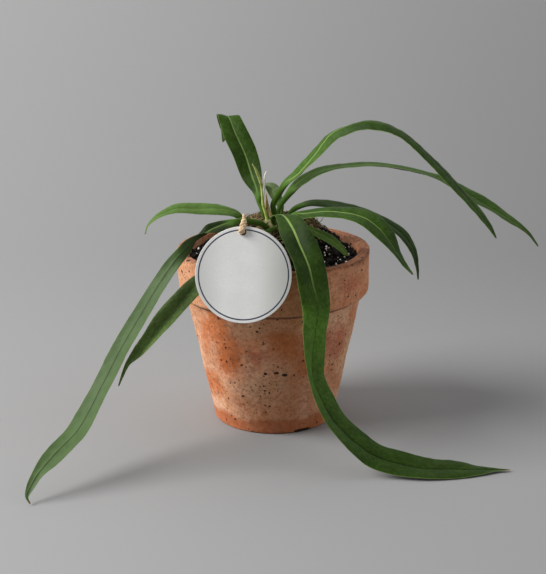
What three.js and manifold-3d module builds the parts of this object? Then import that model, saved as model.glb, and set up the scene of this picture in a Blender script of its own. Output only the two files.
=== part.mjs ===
// A potted strap-leaved anthurium: a terracotta pot with its soil, moss, stem, leaves, name tag and twine.
// Millimetres, +Z up. Every size below is measured from the pot's own axis and from the floor it stands on.
// The finished group is then moved so that the origin is the middle of the base of its bounding box.
import * as THREE from "three";
import { mergeVertices } from "three/addons/utils/BufferGeometryUtils.js";
import Module from "manifold-3d";

const wasm = await Module();
wasm.setup();

// Driving dimensions
const GAP = 0.3; // clearance between pieces that touch
const POT_HEIGHT = 127;
const RIM_RADIUS = 70;
const RIM_INNER_RADIUS = 61.8;
const BASE_RADIUS = 44.3;
const COLLAR_BOTTOM = 95;
const NECK_RADIUS = 64; // body just under the collar
const FLOOR_THICKNESS = 9;
const INNER_BASE_RADIUS = 37;
const DRAIN_RADIUS = 6.5;
const SOIL_LEVEL = 121;
const HEAP_CENTRE = new THREE.Vector2(2, 12);
const HEAP_RADIUS = 50;
const HEAP_HEIGHT = 22.5;
const MOSS_RADIUS = 33;
const MOSS_THICKNESS = 3.6;
const STEM_RADIUS = 8;
const STEM_BOTTOM = 112;
const STEM_TOP = 149;
const TAG_RADIUS = 32.2;
const TAG_THICKNESS = 1.2;
const TAG_HOLE_RADIUS = 2.2;
const TAG_HOLE_UP = 28.4; // from the tag's centre
const TAG_LEAN = THREE.MathUtils.degToRad(17);
const TAG_CENTRE = new THREE.Vector3(-20, -70.9, 127.2);
const TWINE_RADIUS = 0.9;
const BLADE_EDGE = 0.35; // half the thickness of a blade away from its midrib
const RIB_REACH = 1.8; // from the midrib to where the blade is flat
const POT_SIDES = 48;
const STEPS_PER_ROW = 2; // sections of a leaf for each of its rows

const COLOUR = {
  terracotta: 0xb9734a,
  soil: 0x1d1713,
  moss: 0x7d6640,
  stem: 0x5d5a2c,
  leafDark: 0x2c4a1c,
  leafMid: 0x3b5f2a,
  leafLight: 0x55803f,
  leafOlive: 0x46562b,
  shoot: 0x9aa648,
  sheath: 0x8c6b3a,
  tag: 0xe2e1de,
  twine: 0xc9a57c,
};

// Solids

function mesh(name, geometry, colour, roughness = 0.6) {
  const material = new THREE.MeshStandardMaterial({ color: colour, roughness, metalness: 0 });
  const made = new THREE.Mesh(geometry, material);
  made.name = name;
  return made;
}

function toSolid(geometry) {
  const bare = geometry.index ? geometry.clone() : geometry;
  bare.deleteAttribute("normal");
  bare.deleteAttribute("uv");
  const merged = mergeVertices(bare, 1e-4);
  return new wasm.Manifold(
    new wasm.Mesh({
      numProp: 3,
      vertProperties: new Float32Array(merged.attributes.position.array),
      triVerts: new Uint32Array(merged.index.array),
    }),
  );
}

function toGeometry(solid) {
  const made = solid.getMesh();
  const geometry = new THREE.BufferGeometry();
  geometry.setAttribute("position", new THREE.BufferAttribute(made.vertProperties, 3));
  geometry.setIndex(new THREE.BufferAttribute(made.triVerts, 1));
  geometry.computeVertexNormals();
  return geometry;
}

// The two triangles of a face with four corners.
function quad(a, b, c, d) {
  return [
    [a, b, c],
    [a, c, d],
  ];
}

function fromTriangles(points, triangles) {
  const geometry = new THREE.BufferGeometry();
  geometry.setAttribute("position", new THREE.Float32BufferAttribute(points.flat(), 3));
  geometry.setIndex(triangles.flat());
  return geometry;
}

// Turns a profile of [radius, height] pairs about +Z. It runs up the outside, so the faces point out.
function turned(profile, sides) {
  const geometry = new THREE.LatheGeometry(profile.map(([r, z]) => new THREE.Vector2(r, z)), sides);
  return geometry.rotateX(Math.PI / 2);
}

// Leaves: each row of a leaf is [x, y, z, armX, armY, armZ, fold]. The point lies on the midrib. The arm
// runs from it to the right-hand edge, as seen along the leaf from its base with its top side up, so its
// length is half the leaf's width there. The fold lifts both halves of the blade out of flat, in degrees.

const COLUMNS = [-1, -0.5, 0, 0.5, 1];
const STALK_HALF_WIDTH = 2.2;
const BLADE_HALF_WIDTH = 6;
const RIB_AT_BASE = 1.8;
const RIB_AT_TIP = 0.6;
const STALK_FULLNESS = 0.9; // a stalk's thickness as a share of its width
const STALK_SHOULDER = 0.8; // its thickness between middle and edge, as a share of that

// The thickness to either side of the middle surface, for a column of a section that lies
// at a share of the leaf's length.
function halfThickness(halfWidth, column, share) {
  const blade = THREE.MathUtils.smoothstep(halfWidth, STALK_HALF_WIDTH, BLADE_HALF_WIDTH);
  const full = THREE.MathUtils.lerp(RIB_AT_BASE, RIB_AT_TIP, Math.sqrt(share));
  const rib = Math.min(STALK_FULLNESS * halfWidth, full);
  if (column === 0) return rib;
  if (Math.abs(column) === 1) return BLADE_EDGE;
  return Math.max(BLADE_EDGE, THREE.MathUtils.lerp(STALK_SHOULDER * rib, BLADE_EDGE, blade));
}

// Where the columns between midrib and edge lie, as a share of the half width.
function shoulder(halfWidth) {
  return THREE.MathUtils.clamp(RIB_REACH / halfWidth, 0.2, 0.6);
}

function leafSections(rows, stepsPerRow) {
  const count = rows.length - 1;
  const curve = (pick) => new THREE.CatmullRomCurve3(rows.map(pick), false, "catmullrom", 0.5);
  const midrib = curve((row) => new THREE.Vector3(row[0], row[1], row[2]));
  const arms = curve((row) => new THREE.Vector3(row[3], row[4], row[5]));
  const folds = curve((row) => new THREE.Vector3(row[6], 0, 0));
  const sections = [];
  for (let i = 0; i <= count * stepsPerRow; i++) {
    const t = i / (count * stepsPerRow);
    const along = midrib.getTangent(t);
    const arm = arms.getPoint(t);
    const halfWidth = arm.length();
    arm.addScaledVector(along, -arm.dot(along)).normalize();
    const up = new THREE.Vector3().crossVectors(arm, along);
    const fold = THREE.MathUtils.degToRad(folds.getPoint(t).x);
    sections.push({ at: midrib.getPoint(t), along, arm, up, halfWidth, fold, share: t });
  }
  return sections;
}

// A closed blade or stalk along the rows. The top and underside are split into triangles alike.
function leafGeometry(rows, { grow = 0, rootLength = 0, length = 1 } = {}) {
  const sections = leafSections(rows, STEPS_PER_ROW);
  if (rootLength) sections[0].at.addScaledVector(sections[0].along, -rootLength);
  const width = COLUMNS.length;
  const points = [];
  for (const { at, arm, up, halfWidth, fold, share } of sections) {
    const half = halfWidth + grow;
    const inner = shoulder(halfWidth);
    for (const side of [1, -1]) {
      for (const column of COLUMNS) {
        const across = half * (Math.abs(column) === 0.5 ? Math.sign(column) * inner : column);
        const thickness = halfThickness(halfWidth, column, share * length) + grow;
        const lift = Math.abs(across) * Math.sin(fold) + side * thickness;
        const p = at.clone().addScaledVector(arm, across * Math.cos(fold)).addScaledVector(up, lift);
        points.push([p.x, p.y, p.z]);
      }
    }
  }
  const top = (i, j) => i * 2 * width + j;
  const under = (i, j) => i * 2 * width + width + j;
  const triangles = [];
  const face = (a, b, c, d) => triangles.push(...quad(a, b, c, d));
  const last = width - 1;
  const end = sections.length - 1;
  for (let i = 0; i < end; i++) {
    for (let j = 0; j < last; j++) {
      face(top(i, j), top(i, j + 1), top(i + 1, j + 1), top(i + 1, j));
      face(under(i, j), under(i + 1, j), under(i + 1, j + 1), under(i, j + 1));
    }
    face(top(i, 0), top(i + 1, 0), under(i + 1, 0), under(i, 0));
    face(top(i, last), under(i, last), under(i + 1, last), top(i + 1, last));
  }
  for (let j = 0; j < last; j++) {
    face(top(0, j), under(0, j), under(0, j + 1), top(0, j + 1));
    face(top(end, j), top(end, j + 1), under(end, j + 1), under(end, j));
  }
  return fromTriangles(points, triangles);
}

const LEAVES = {
  leaf_upright: {
    colour: COLOUR.leafDark,
    rows: [
      [-5, 1, 145, 1.5, 0, 0, 0],
      [-7, 0, 152, 1.5, 0, 0.5, 0],
      [-10, 3, 159, 1.5, -0.5, 0.5, 0],
      [-11, 7, 167, 3.5, -2, 2, 5],
      [-15, 14, 177, 7, -1, 3.5, 5],
      [-20, 22, 190, 8.5, 2, 2, 10],
      [-27, 30, 204, 8.5, 1.5, 3, 15],
      [-31, 36, 213, 8, 0.5, 0.5, 8],
      [-33, 41, 215, 8, 1, -1, 3],
      [-34, 46, 212, 6.5, 1, 0, 0],
      [-34, 49, 204, 4.5, 1, 0, 0],
      [-36, 50, 198, 2, 0, 0, 0],
      [-37, 50, 194, 0.5, 0, 0, 0],
    ],
  },
  leaf_high_right: {
    colour: COLOUR.leafMid,
    rows: [
      [2, 2, 145, 2, 0, 0, 0],
      [1, 1.5, 152, 2, 0, 0, 0],
      [0, 0, 158, 2, -0.5, 0, 0],
      [4, -2, 166, 2, 0, -1, 0],
      [9, -4, 174, 1.5, -2.6, -1, 15],
      [18.4, -7.6, 181.7, 1.8, -6, -0.5, 27],
      [31, -12.3, 197.8, 2.3, -6.4, -0.2, 8],
      [39.4, -15.7, 210, 2.2, -6.5, -0.6, -16],
      [49, -19, 216.1, 1.3, -6.8, -1.2, -25],
      [66, -25, 221, -2.4, -6.5, -2.2, -24],
      [86, -33, 215.5, -3.1, -6.5, 0, -14],
      [104, -42, 201.1, -3.2, -6.2, 0.3, -10],
      [121, -52, 183.5, -3.5, -5.5, 0, -5],
      [135, -62, 167.8, -3, -4, 0, 0],
      [143, -67, 157.5, -1.8, -2.6, 0, 0],
      [147, -71, 151, -0.5, -0.5, 0, 0],
    ],
  },
  leaf_second_right: {
    colour: COLOUR.leafMid,
    rows: [
      [4.5, 5, 144, 1.5, -0.5, 0, 0],
      [4, 6, 153, 1.5, 0, -0.5, 0],
      [10, 9, 162, 2, -0.5, -1, 0],
      [19, 12, 171, 2, -4.5, -1.5, 5],
      [34, 15, 179, 1.5, -7, -1, 5],
      [56, 18, 182, 1, -7.5, 0, 5],
      [77, 20, 182, 0, -7.5, 0, 5],
      [100, 20, 178, 0, -7.5, 0, 5],
      [121, 18, 172, -1, -7.5, -0.5, 5],
      [144, 13, 160, -3, -6.5, -2, 5],
      [165, 6, 148, -2.5, -6, -1, 5],
      [181, 0, 138, -1.5, -3, -0.5, 0],
      [190, -4, 127, -0.5, -1, 0, 0],
    ],
  },
  leaf_mid_right_rear: {
    colour: COLOUR.leafDark,
    rows: [
      [7, 5, 142, 1, -1, 0, 0],
      [12, 12, 149, 1, -1, -0.5, 0],
      [20, 17, 153, 1.5, -3, -0.5, 0],
      [34, 22, 154, 1, -5.5, -1.5, 0],
      [56, 25, 149, 0, -7, -1.5, 5],
      [78, 24, 141, -1.5, -6.5, -1.5, 5],
      [93, 20, 132, -3, -6.5, -1, 5],
      [102, 15, 121, -3, -4.5, 0.5, 0],
      [105, 10, 109, -1.5, -2.5, 0.5, 0],
      [106, 7, 99, -0.5, -1, 0, 0],
    ],
  },
  leaf_mid_right_front: {
    colour: COLOUR.leafMid,
    rows: [
      [6.5, -1, 144, 1, 0, -1, 0],
      [13, -8, 152, 0, -1, -1, 0],
      [22, -13, 154, -2, -5, -2, 0],
      [37, -19, 157, -3, -7, -2, 0],
      [54, -26, 157, -4, -8, -2.5, 5],
      [66, -33, 154, -6, -7.5, -2.5, 5],
      [76, -40, 146, -6, -6.5, -1.5, 5],
      [84, -46, 135, -3, -5, 0.5, 0],
      [90, -50, 127, -1.5, -2.5, 0, 0],
      [95, -53, 121, -0.5, -1, 0, 0],
    ],
  },
  leaf_front_trailing: {
    colour: COLOUR.leafDark,
    rows: [
      [1, -4.5, 144, -2, 0, 0, 0],
      [0, -9, 149, -2, 0, 0, 0],
      [1, -16, 153, -3, -0.5, 0, 0],
      [7, -26, 156, -5.5, -2.5, 0, 0],
      [13, -42, 152, -8, -1, -5, 15],
      [18, -58, 143, -11, -2.5, -1.5, 20],
      [23, -70, 133, -10.5, -4.5, 0, 14],
      [26, -76, 121, -10, -5.5, -0.5, 5],
      [29, -79, 106, -9.5, -5.5, 1, -9],
      [27, -82, 89, -8, -7.5, 2.5, 0],
      [25, -86, 74, -7, -8, 3, 16],
      [26, -91, 60, -6, -9, 2, 19],
      [31, -96, 48, -6, -9, 0, 19],
      [39, -101, 35, -5.5, -9.5, -1, 12],
      [51, -105, 23, -4, -9.5, -3.5, 10],
      [66, -107, 12, -4, -9, -4.5, 5],
      [82, -109, 7, -3, -9.5, -4.5, 5],
      [100, -111, 4, -1, -10, -3, 6],
      [120, -110, 3, 0.5, -9, -2, 4],
      [135, -109, 2, 0.5, -6, -0.5, 0],
      [147, -108, 1.5, 0, -2.5, 0, 0],
      [157, -108, 1.5, 0, -0.5, 0, 0],
    ],
  },
  leaf_left_trailing: {
    colour: COLOUR.leafLight,
    rows: [
      [-4, -6, 141, 0.5, -0.5, 2, 0],
      [-8, -16, 148, 0.5, 0, 2, 0],
      [-16, -28, 153, 0.5, 0, 2, 0],
      [-21, -36, 155.7, 0.5, -0.5, 2, 0],
      [-29.5, -42, 155, -1, 2.8, 1.8, 12],
      [-36.5, -47, 154, -1.5, 4, 2.4, 22],
      [-42, -51, 152.6, -2, 4.6, 2.6, 24],
      [-46.3, -54, 150.3, -1.1, 5.3, 0, 25],
      [-49.9, -57, 148.8, 0.4, 4.8, -1.9, 22],
      [-55.5, -59.5, 145.4, 2.2, 3.2, -3.3, 10],
      [-60.2, -61.5, 141, 3, 0.8, -3.2, 3],
      [-68, -64, 132, 4, -3.2, -2, -4],
      [-78.5, -69, 117, 4.5, -5, -1.5, -7],
      [-87.5, -73, 102.5, 5, -5.5, -1.5, -7],
      [-101.5, -80, 80, 5.5, -6, -1, -7],
      [-113, -88, 59.5, 6, -6, -0.5, -7],
      [-121, -98, 45, 7, -5.5, 0.5, -7],
      [-129, -111, 33.5, 7.5, -5.5, 0.5, -6],
      [-138, -123, 27, 6.5, -4.5, -1, -4],
      [-144.5, -131, 22, 5.5, -3.5, -1.5, 0],
      [-151, -139, 16, 3.5, -2, -1, 0],
      [-155, -145, 10, 2.5, -1, -1, 0],
      [-157, -149, 5, 1, -0.5, -0.5, 0],
      [-154.5, -152, 1.2, 0.5, 0, 0.5, 0],
    ],
  },
  leaf_upper_left: {
    colour: COLOUR.leafLight,
    rows: [
      [-5, 2, 141, 0.5, 0, 1.5, 0],
      [-13, -2, 146, 0.5, 0.5, 1.5, 0],
      [-21, -4, 148, 0.5, 0.5, 1.5, 0],
      [-25, -6, 152, 0, 3, 2, 0],
      [-31, -8, 155, -0.5, 5, 2, 0],
      [-41, -10, 157, -1, 6.5, 2.5, 5],
      [-53, -12, 158, -1, 6.5, 2.5, 5],
      [-66, -14, 159, -1.5, 6.5, 2, 5],
      [-75, -16, 157, -1.5, 5, 1, 0],
      [-83, -18, 153, -1, 3, 0.5, 0],
      [-88, -19, 148, -0.5, 1, 0, 0],
      [-90, -20, 142, -0.5, 0, 0, 0],
    ],
  },
  leaf_lower_left: {
    colour: COLOUR.leafDark,
    rows: [
      [5, -5, 141, 0, 0, 1.5, 0],
      [0, -14, 144, 0, 0, 1.5, 0],
      [-10, -28, 142, -0.5, 0, 2, 0],
      [-22, -43, 139, -2.5, 2, 0.5, 0],
      [-33, -55, 134, -4, 3.5, 1, 0],
      [-43, -61, 125.5, -4.5, 5.5, 1, 0],
      [-53, -64, 117, -5, 5.5, 2, 5],
      [-62, -66, 108, -5.5, 5, 2.5, 10],
      [-72, -70, 98, -5.5, 5.5, 2.5, 7],
      [-83.5, -76, 84.5, -4, 5, 2, 8],
      [-91.5, -79, 76, -3, 4.5, 1.5, 4],
      [-97.5, -81, 69.5, -1.5, 2.5, 0.5, 0],
      [-101.5, -84, 61.5, -1, 1, 0, 0],
      [-104.3, -87, 54.6, -0.5, 0.5, 0, 0],
    ],
  },
  leaf_rear: {
    colour: COLOUR.leafOlive,
    rows: [
      [3.5, 7, 142, 1.5, -0.5, 0, 0],
      [6, 13, 150, 1, -1, 0.5, 0],
      [5, 18, 155, 2, -1.5, 3, 0],
      [2, 25, 159, 1.5, -2, 6, -5],
      [-1, 34, 163, 6, 3, -1.5, 3],
      [-5, 43, 162, 5.5, 2.5, 1.5, 0],
      [-11, 58, 158, 3.5, 1.5, 2, 0],
      [-15, 70, 154, 0.5, 0.5, 0, 0],
    ],
  },
  leaf_short: {
    colour: COLOUR.leafLight,
    rows: [
      [6.5, -3, 141, 0, -0.5, -1.5, 0],
      [12, -4, 144.5, 0, -0.5, -1.5, 0],
      [18, -6, 144.5, -0.5, -1, -1.5, 0],
      [28, -9, 141, -1, -1.5, -2, 0],
      [39, -13, 136.5, -1, -2, -2.5, 0],
      [47, -17, 131, -1, -1.5, -2, 0],
      [52, -20, 125.5, -0.5, -1, -1, 0],
    ],
  },
};

// The new shoot is one stalk that parts into a rolled leaf and a cream bract.
const SHOOT_STALK = [
  [-4.2, -3.4, 146, 1, 0, 0, 0],
  [-6, -3, 152, 1, 0, 0, 0],
  [-7.2, -3, 162, 1, 0, 0, 0],
  [-8, -3, 171, 1, 0, 0, 0],
  [-11, -5, 181, 1, 0, 0, 0],
  [-14.5, -7, 189, 0.5, 0, 0, 0],
];
const SHOOT_BRACT = [
  [-7, -3, 160, 1, 0, 0, 0],
  [-6.5, -3, 168, 1, 0, 0, 0],
  [-6, -4, 176, 1, 0, 0, 0],
  [-5, -4, 183, 0.5, 0, 0, 0],
];
const SHEATH = [
  [-1.5, -1, 146, 1.5, 0, 0, 0],
  [-3.2, -1.3, 152, 1.8, 0, 0, 0],
  [-4.4, -1, 158, 1.8, 0, 0, 0],
  [-4.8, -1, 163, 1, 0, 0, 0],
  [-4.8, -1, 167.5, 0.5, 0, 0, 0],
];

// Pot, soil, moss and stem

function potGeometry() {
  const profile = [
    [DRAIN_RADIUS, 0],
    [BASE_RADIUS - 1.5, 0],
    [BASE_RADIUS, 1.5],
    [NECK_RADIUS, COLLAR_BOTTOM],
    [NECK_RADIUS + 3.5, COLLAR_BOTTOM + 0.5],
    [RIM_RADIUS - 1, COLLAR_BOTTOM + 3],
    [RIM_RADIUS, POT_HEIGHT - 6],
    [RIM_RADIUS - 0.5, POT_HEIGHT - 1.5],
    [RIM_RADIUS - 2, POT_HEIGHT],
    [RIM_INNER_RADIUS + 1.5, POT_HEIGHT],
    [RIM_INNER_RADIUS, POT_HEIGHT - 2],
    [INNER_BASE_RADIUS + 3, FLOOR_THICKNESS + 1],
    [INNER_BASE_RADIUS, FLOOR_THICKNESS],
    [DRAIN_RADIUS, FLOOR_THICKNESS],
    [DRAIN_RADIUS, 0],
  ];
  return turned(profile, POT_SIDES);
}

function potInnerRadius(z) {
  const share = (z - FLOOR_THICKNESS - 1) / (POT_HEIGHT - 2 - FLOOR_THICKNESS - 1);
  return THREE.MathUtils.lerp(INNER_BASE_RADIUS + 3, RIM_INNER_RADIUS, share);
}

// The heap of soil in the pot, smooth and then with its crumbs.
function heapHeight(x, y) {
  const away = Math.hypot(x - HEAP_CENTRE.x, y - HEAP_CENTRE.y) / HEAP_RADIUS;
  return SOIL_LEVEL + HEAP_HEIGHT * Math.pow(Math.max(0, 1 - away * away), 0.8);
}

function soilHeight(x, y) {
  const lumps = 0.7 * Math.sin(0.33 * x - 0.47 * y + 1);
  const crumbs = 0.9 * Math.sin(0.61 * x + 0.4) * Math.sin(0.53 * y);
  return heapHeight(x, y) + lumps + crumbs;
}

function mossThickness(x, y) {
  const away = Math.hypot(x - HEAP_CENTRE.x, y - HEAP_CENTRE.y) / MOSS_RADIUS;
  const tufts = 0.5 * Math.sin(0.9 * x + 0.5 * y) * Math.sin(0.8 * y - 0.3 * x + 2);
  return 1.4 + (MOSS_THICKNESS - 1.4) * Math.max(0, 1 - away * away) + tufts;
}

// The rings of the heap's surface: the first ones lie under the moss and end at its edge, and the
// others go on to the wall of the pot.
const MOSS_RINGS = 6;
const BARE_RINGS = 3;
const HEAP_SIDES = 32;

function mossEdge(angle) {
  return MOSS_RADIUS * (1 + 0.05 * Math.sin(5 * angle) + 0.04 * Math.sin(8 * angle + 1));
}

// The distance from the heap's centre to a circle about the pot's axis.
function reach(angle, radius) {
  const along = HEAP_CENTRE.x * Math.cos(angle) + HEAP_CENTRE.y * Math.sin(angle);
  return -along + Math.sqrt(along * along + radius * radius - HEAP_CENTRE.lengthSq());
}

// A closed body between a top and an underside, ring by ring about the heap's centre.
function blanket(rings, radiusAt, topAt, underAt) {
  const points = [];
  for (const heightAt of [topAt, underAt]) {
    points.push([HEAP_CENTRE.x, HEAP_CENTRE.y, heightAt(HEAP_CENTRE.x, HEAP_CENTRE.y)]);
    for (let ring = 1; ring <= rings; ring++) {
      for (let side = 0; side < HEAP_SIDES; side++) {
        const angle = (2 * Math.PI * side) / HEAP_SIDES;
        const x = HEAP_CENTRE.x + radiusAt(angle, ring) * Math.cos(angle);
        const y = HEAP_CENTRE.y + radiusAt(angle, ring) * Math.sin(angle);
        points.push([x, y, heightAt(x, y)]);
      }
    }
  }
  const layer = 1 + rings * HEAP_SIDES;
  const at = (level, ring, side) =>
    level * layer + (ring === 0 ? 0 : 1 + (ring - 1) * HEAP_SIDES + (side % HEAP_SIDES));
  const triangles = [];
  const face = (a, b, c, d) => triangles.push(...quad(a, b, c, d));
  for (let side = 0; side < HEAP_SIDES; side++) {
    const next = side + 1;
    triangles.push([at(0, 0, 0), at(0, 1, side), at(0, 1, next)]);
    triangles.push([at(1, 0, 0), at(1, 1, next), at(1, 1, side)]);
    for (let ring = 1; ring < rings; ring++) {
      face(at(0, ring, side), at(0, ring + 1, side), at(0, ring + 1, next), at(0, ring, next));
      face(at(1, ring, side), at(1, ring, next), at(1, ring + 1, next), at(1, ring + 1, side));
    }
    face(at(0, rings, side), at(1, rings, side), at(1, rings, next), at(0, rings, next));
  }
  return fromTriangles(points, triangles);
}

// The soil: a plug with an arch over the drain hole, and the heap on top of it.
function soilSolid() {
  const bottom = FLOOR_THICKNESS + GAP;
  const plugTop = 112;
  const heapBottom = plugTop - 1;
  const wallGap = GAP + 0.2;
  const plug = turned(
    [
      [0, bottom + 4],
      [DRAIN_RADIUS + 2, bottom + 3],
      [DRAIN_RADIUS + 3, bottom],
      [INNER_BASE_RADIUS - 1, bottom],
      [potInnerRadius(bottom + 3) - wallGap, bottom + 3],
      [potInnerRadius(plugTop) - wallGap, plugTop],
      [0, plugTop],
    ],
    POT_SIDES,
  );
  const radiusAt = (angle, ring) => {
    if (ring <= MOSS_RINGS) return (mossEdge(angle) * ring) / MOSS_RINGS;
    const wall = reach(angle, potInnerRadius(heapBottom) - wallGap);
    return THREE.MathUtils.lerp(mossEdge(angle), wall, (ring - MOSS_RINGS) / BARE_RINGS);
  };
  const heap = blanket(MOSS_RINGS + BARE_RINGS, radiusAt, soilHeight, () => heapBottom);
  return toSolid(plug).add(toSolid(heap));
}

function mossSolid() {
  const radiusAt = (angle, ring) => (mossEdge(angle) * ring) / MOSS_RINGS;
  const under = (x, y) => soilHeight(x, y) + 1.4 * GAP;
  const top = (x, y) => under(x, y) + mossThickness(x, y);
  return toSolid(blanket(MOSS_RINGS, radiusAt, top, under));
}

function stemGeometry() {
  return turned(
    [
      [0, STEM_BOTTOM],
      [STEM_RADIUS - 2.5, STEM_BOTTOM],
      [STEM_RADIUS - 1, STEM_BOTTOM + 6],
      [STEM_RADIUS, STEM_TOP - 12],
      [STEM_RADIUS, STEM_TOP - 5],
      [STEM_RADIUS - 2, STEM_TOP - 1],
      [0, STEM_TOP],
    ],
    20,
  );
}

// A plain round hole that the stem stands in.
function stemHole() {
  const height = 60;
  const hole = new THREE.CylinderGeometry(STEM_RADIUS + GAP, STEM_RADIUS + GAP, height, 20);
  return toSolid(hole.rotateX(Math.PI / 2).translate(0, 0, STEM_BOTTOM - GAP + height / 2));
}

// Cuts a socket for each stalk that grows out of a piece or through it, and drops loose crumbs.
function withSockets(solid, stalks) {
  for (const rows of stalks) {
    const near = rows.slice(0, 6);
    const socket = leafGeometry(near, { grow: GAP, rootLength: GAP, length: near.length / rows.length });
    solid = solid.subtract(toSolid(socket));
  }
  return solid.decompose().reduce((largest, body) => (body.volume() > largest.volume() ? body : largest));
}

// Tag and twine

function tagSolid() {
  const bevel = 0.3;
  const half = TAG_THICKNESS / 2;
  const disc = turned(
    [
      [0, -half],
      [TAG_RADIUS - bevel, -half],
      [TAG_RADIUS, -half + bevel],
      [TAG_RADIUS, half - bevel],
      [TAG_RADIUS - bevel, half],
      [0, half],
    ],
    POT_SIDES,
  );
  const hole = new THREE.CylinderGeometry(TAG_HOLE_RADIUS, TAG_HOLE_RADIUS, 4, 16).rotateX(Math.PI / 2);
  return toSolid(disc).subtract(toSolid(hole.translate(0, TAG_HOLE_UP, 0)));
}

// The twine's loop: through the tag's hole, over the tag's edge and round the stalk of the long left leaf.
const TWINE_LOOP = [
  [-20, -60, 153.6],
  [-20, -62.7, 154.4],
  [-20, -65.2, 156],
  [-20, -64.6, 158.4],
  [-20, -62.2, 159.8],
  [-20, -57, 159.9],
  [-20, -48, 159.4],
  [-20, -41.3, 159.3],
  [-20.2, -35, 159.3],
  [-20.2, -30, 157.4],
  [-20.2, -29, 154.4],
  [-20, -32, 151.7],
  [-20, -40, 150.8],
  [-20, -50, 151.6],
];

function twineGeometry() {
  const sides = 6;
  const steps = 44;
  const route = new THREE.CatmullRomCurve3(TWINE_LOOP.map((p) => new THREE.Vector3(...p)), true);
  const frames = route.computeFrenetFrames(steps, true);
  const points = [];
  const triangles = [];
  for (let i = 0; i < steps; i++) {
    const centre = route.getPointAt(i / steps);
    for (let k = 0; k < sides; k++) {
      const angle = (2 * Math.PI * k) / sides;
      const p = centre.clone();
      p.addScaledVector(frames.normals[i], TWINE_RADIUS * Math.cos(angle));
      p.addScaledVector(frames.binormals[i], TWINE_RADIUS * Math.sin(angle));
      points.push([p.x, p.y, p.z]);
      const a = i * sides + k;
      const b = i * sides + ((k + 1) % sides);
      const c = ((i + 1) % steps) * sides + k;
      const d = ((i + 1) % steps) * sides + ((k + 1) % sides);
      triangles.push(...quad(a, b, d, c));
    }
  }
  return fromTriangles(points, triangles);
}

// Assembly

const plant = new THREE.Group();

plant.add(mesh("pot", potGeometry(), COLOUR.terracotta, 0.9));

const stalks = [...Object.values(LEAVES).map((leaf) => leaf.rows), SHOOT_STALK, SHEATH];
const soil = withSockets(soilSolid().subtract(stemHole()), stalks);
const moss = withSockets(mossSolid().subtract(stemHole()), stalks);
const stem = withSockets(toSolid(stemGeometry()), stalks);
plant.add(mesh("soil", toGeometry(soil), COLOUR.soil, 1));
plant.add(mesh("moss", toGeometry(moss), COLOUR.moss, 1));
plant.add(mesh("stem", toGeometry(stem), COLOUR.stem, 0.7));
for (const [name, { rows, colour }] of Object.entries(LEAVES)) {
  plant.add(mesh(name, leafGeometry(rows), colour, 0.45));
}

const shoot = toSolid(leafGeometry(SHOOT_STALK)).add(toSolid(leafGeometry(SHOOT_BRACT)));
plant.add(mesh("shoot", toGeometry(shoot), COLOUR.shoot, 0.5));
plant.add(mesh("sheath", leafGeometry(SHEATH), COLOUR.sheath, 0.8));

const tag = mesh("tag", toGeometry(tagSolid()), COLOUR.tag, 0.4);
tag.position.copy(TAG_CENTRE);
tag.rotation.x = Math.PI / 2 - TAG_LEAN;
plant.add(tag);
plant.add(mesh("twine", twineGeometry(), COLOUR.twine, 0.9));

// The origin: the middle of the base of the bounding box.
const box = new THREE.Box3().setFromObject(plant, true);
plant.position.set(-(box.min.x + box.max.x) / 2, -(box.min.y + box.max.y) / 2, 0);

const root = new THREE.Group();
root.add(plant);
export default root;
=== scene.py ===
# A strap-leaved anthurium in a terracotta pot, with its name tag: the looks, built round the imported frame.
# Shapes are in millimetres, measured from the pot's axis and from the floor, and are placed in metres.
import itertools
import math

import bpy
import numpy as np
from mathutils import Matrix, Vector


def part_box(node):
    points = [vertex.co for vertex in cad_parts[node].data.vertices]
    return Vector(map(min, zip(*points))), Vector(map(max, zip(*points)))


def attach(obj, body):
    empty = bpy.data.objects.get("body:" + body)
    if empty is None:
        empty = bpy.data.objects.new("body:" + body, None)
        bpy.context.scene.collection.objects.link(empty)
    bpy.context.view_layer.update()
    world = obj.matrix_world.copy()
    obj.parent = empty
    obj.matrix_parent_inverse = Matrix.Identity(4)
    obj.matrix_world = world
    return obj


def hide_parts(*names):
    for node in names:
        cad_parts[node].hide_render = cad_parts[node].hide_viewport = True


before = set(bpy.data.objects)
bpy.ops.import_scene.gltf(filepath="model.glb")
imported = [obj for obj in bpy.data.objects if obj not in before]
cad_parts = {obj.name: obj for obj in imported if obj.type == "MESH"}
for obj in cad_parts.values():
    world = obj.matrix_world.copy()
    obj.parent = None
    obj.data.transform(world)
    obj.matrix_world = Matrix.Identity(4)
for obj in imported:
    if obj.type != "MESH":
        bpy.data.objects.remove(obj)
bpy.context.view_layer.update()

MM = 0.001
POT_LOW, POT_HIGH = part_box("pot")
AXIS = np.array([(POT_LOW.x + POT_HIGH.x) / 2, (POT_LOW.y + POT_HIGH.y) / 2, 0.0])

# The photograph's frame and the camera that fits it
IMAGE_WIDTH = 546
IMAGE_HEIGHT = 574
FOCAL_PIXELS = 1214
SENSOR = 36
CAMERA_PLACE = (-0.45, -844, 358)
CAMERA_PITCH = 0.3003
CAMERA_ROLL = 0.0066

# Each lamp: where its light comes from, how wide it is in degrees, and its strength
SUNS = {
    "key": ((-0.79, -0.11, 0.60), 35, 4.25),
    "back": ((0.1, 0.75, 0.65), 100, 1.3),
    "right": ((0.92, -0.1, 0.38), 60, 0.75),
}
SKY_STRENGTH = 0.16
FLOOR_REACH = 14

# Geometry helpers


def metres(points):
    """Millimetres from the pot's axis, as metres in the frame."""
    return np.asarray(points, float) * MM + AXIS


def smoothstep(value, low, high):
    t = np.clip((value - low) / (high - low), 0, 1)
    return t * t * (3 - 2 * t)


def mix(a, b, share):
    return a + (b - a) * share


def bell(distance, width):
    """One in the middle, and next to nothing at twice the width."""
    return np.exp(-((distance / width) ** 2))


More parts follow.
